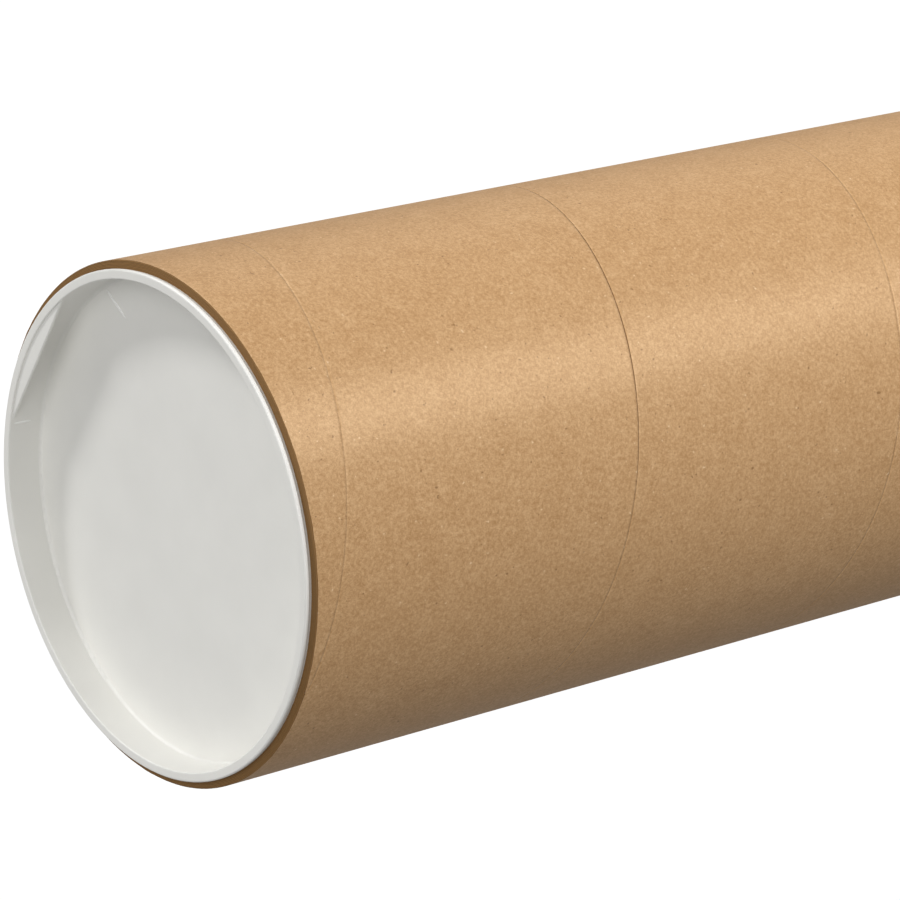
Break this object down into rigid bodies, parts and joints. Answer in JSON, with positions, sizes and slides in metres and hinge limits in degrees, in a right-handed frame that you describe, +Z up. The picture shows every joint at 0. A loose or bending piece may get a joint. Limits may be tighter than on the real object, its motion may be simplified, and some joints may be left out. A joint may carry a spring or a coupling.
{
  "type": "cardboard mailing tube",
  "caption": "Round spiral-wound cardboard mailing tube with a push-in white plastic plug cap closing each end, each with a deep recess and a finger ledge.",
  "frame": {"origin": "centre of the surface that the tube stands on, on the tube's axis, at the outer face of the lower cap's flange", "axes": "+Z up along the tube's axis, +X towards the finger ledge of both caps"},
  "size_m": [0.1588, 0.1586, 0.6146],
  "materials": {
    "kraft_board": "natural kraft paper, satin from calendering",
    "cap_plastic": "moulded white polyethylene, soft satin"
  },
  "bodies": {
    "bottom_cap": {"bottom_cap": "cap_plastic"},
    "tube": {"tube": "kraft_board"},
    "top_cap": {"top_cap": "cap_plastic"}
  },
  "joints": [
    {"name": "tube_off_bottom_cap", "type": "slide", "parent": "bottom_cap", "child": "tube", "axis": [0, 0, 1], "range_m": [0, 0.04]},
    {"name": "top_cap_out", "type": "slide", "parent": "tube", "child": "top_cap", "axis": [0, 0, 1], "range_m": [0, 0.04]}
  ]
}
